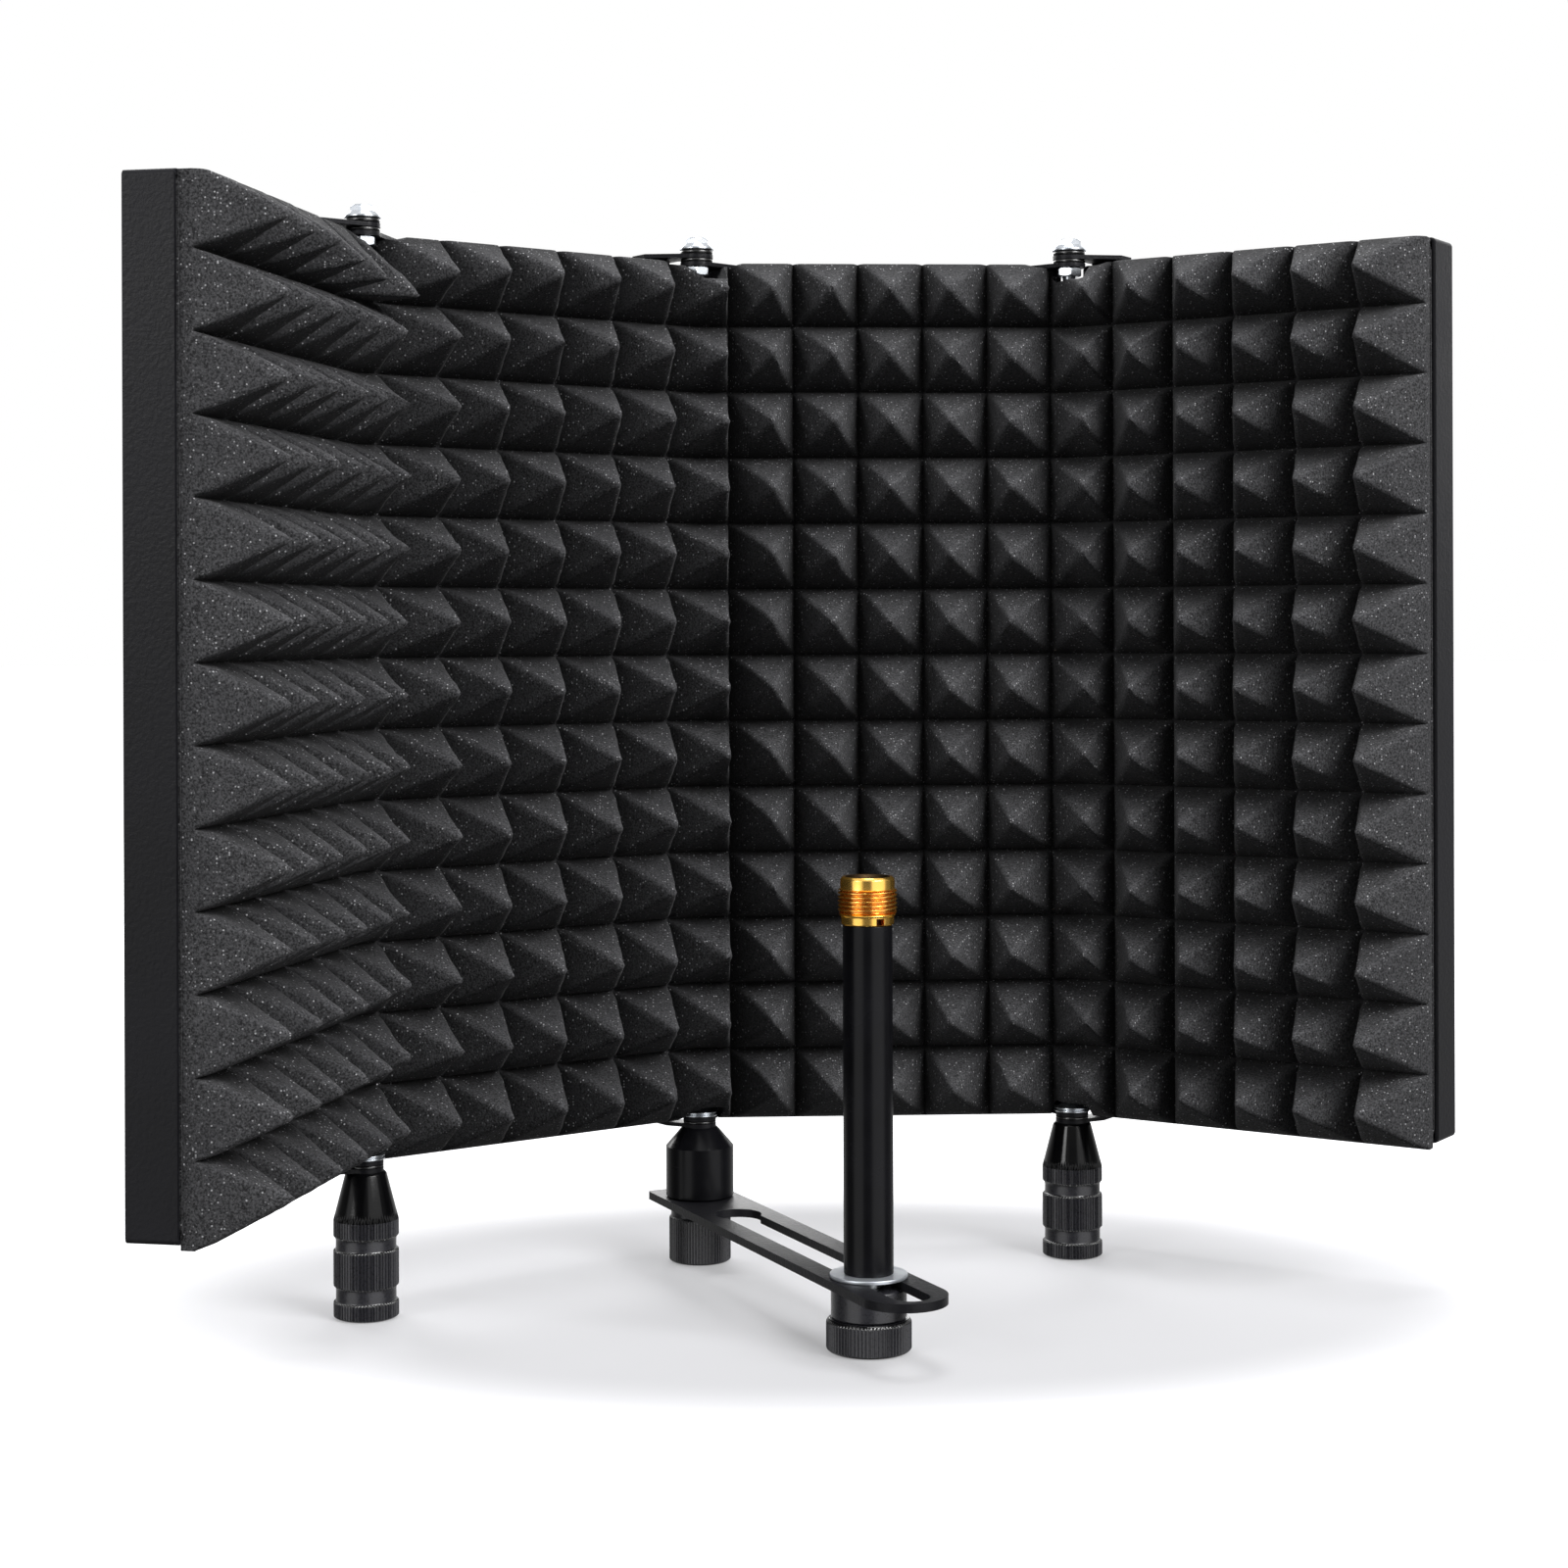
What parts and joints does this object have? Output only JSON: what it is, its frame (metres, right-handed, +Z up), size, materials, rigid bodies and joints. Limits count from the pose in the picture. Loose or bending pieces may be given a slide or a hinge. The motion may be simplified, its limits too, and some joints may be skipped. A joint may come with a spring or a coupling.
{
  "type": "microphone isolation shield",
  "caption": "Folding acoustic shield: hinged steel panels lined with pyramid foam, on screw feet, with a slotted arm and a threaded microphone post.",
  "frame": {"origin": "on the middle hinge axis at table level, at the mouth of the stand thread in the adapter's nut", "axes": "+X along the right centre panel, +Y behind the shield, +Z up; the microphone side is -Y"},
  "size_m": [0.3627, 0.1945, 0.3134],
  "materials": {
    "powder_coat": "fine satin powder coat, black",
    "foam": "open-cell acoustic foam, charcoal, matte",
    "zinc": "bright zinc plate",
    "rubber": "smooth black rubber",
    "gloss_black": "gloss black anodised",
    "gold": "satin gold"
  },
  "bodies": {
    "right_centre_panel": {"right_centre_tray": "powder_coat", "right_centre_foam": "foam", "middle_top_bolt": "zinc", "middle_top_rings": "rubber", "middle_top_nut": "zinc", "middle_bottom_bolt": "zinc", "middle_bottom_washer": "rubber", "right_top_bolt": "zinc", "right_top_rings": "rubber", "right_top_nut": "zinc", "right_bottom_bolt": "zinc", "right_bottom_washer": "rubber", "stand_adapter_body": "gloss_black"},
    "left_centre_panel": {"left_centre_tray": "powder_coat", "left_centre_foam": "foam", "left_top_bolt": "zinc", "left_top_rings": "rubber", "left_top_nut": "zinc", "left_bottom_bolt": "zinc", "left_bottom_washer": "rubber"},
    "left_wing_panel": {"left_wing_tray": "powder_coat", "left_wing_foam": "foam"},
    "right_wing_panel": {"right_wing_tray": "powder_coat", "right_wing_foam": "foam"},
    "left_foot": {"left_foot": "gloss_black"},
    "right_foot": {"right_foot": "gloss_black"},
    "stand_adapter_nut": {"stand_adapter_nut": "gloss_black"},
    "arm": {"arm_plate": "powder_coat"},
    "post": {"post_washer": "zinc", "post_tube": "gloss_black", "post_stud": "zinc", "post_bushing": "gloss_black"},
    "post_nut": {"post_nut": "gloss_black"},
    "thread_adapter": {"thread_adapter": "gold"}
  },
  "joints": [
    {"name": "middle_hinge", "type": "hinge", "parent": "right_centre_panel", "child": "left_centre_panel", "pos_m": [0, 0, 0.175], "axis": [0, 0, 1], "range_deg": [-34, 21]},
    {"name": "left_hinge", "type": "hinge", "parent": "left_centre_panel", "child": "left_wing_panel", "pos_m": [-0.09534, -0.06431, 0.175], "axis": [0, 0, 1], "range_deg": [-42, 13]},
    {"name": "right_hinge", "type": "hinge", "parent": "right_centre_panel", "child": "right_wing_panel", "pos_m": [0.115, 0, 0.175], "axis": [0, 0, -1], "range_deg": [-36, 19]},
    {"name": "arm_swivel", "type": "hinge", "parent": "right_centre_panel", "child": "arm", "pos_m": [0, 0, 0.019], "axis": [0, 0, 1], "range_deg": [-26, 33]},
    {"name": "post_slide", "type": "slide", "parent": "arm", "child": "post", "axis": [0.3665, -0.9304, 0], "range_m": [-0.05, 0.022]},
    {"name": "left_foot_screw", "type": "hinge", "parent": "left_centre_panel", "child": "left_foot", "pos_m": [-0.09534, -0.06431, 0.02], "axis": [0, 0, 1], "continuous": true},
    {"name": "right_foot_screw", "type": "hinge", "parent": "right_centre_panel", "child": "right_foot", "pos_m": [0.115, 0, 0.02], "axis": [0, 0, 1], "continuous": true},
    {"name": "stand_nut_screw", "type": "hinge", "parent": "right_centre_panel", "child": "stand_adapter_nut", "pos_m": [0, 0, 0.009], "axis": [0, 0, 1], "continuous": true},
    {"name": "post_nut_screw", "type": "hinge", "parent": "post", "child": "post_nut", "pos_m": [0.04325, -0.10979, 0.004], "axis": [0, 0, 1], "continuous": true},
    {"name": "thread_adapter_screw", "type": "hinge", "parent": "post", "child": "thread_adapter", "pos_m": [0.04325, -0.10979, 0.12], "axis": [0, 0, 1], "continuous": true}
  ]
}
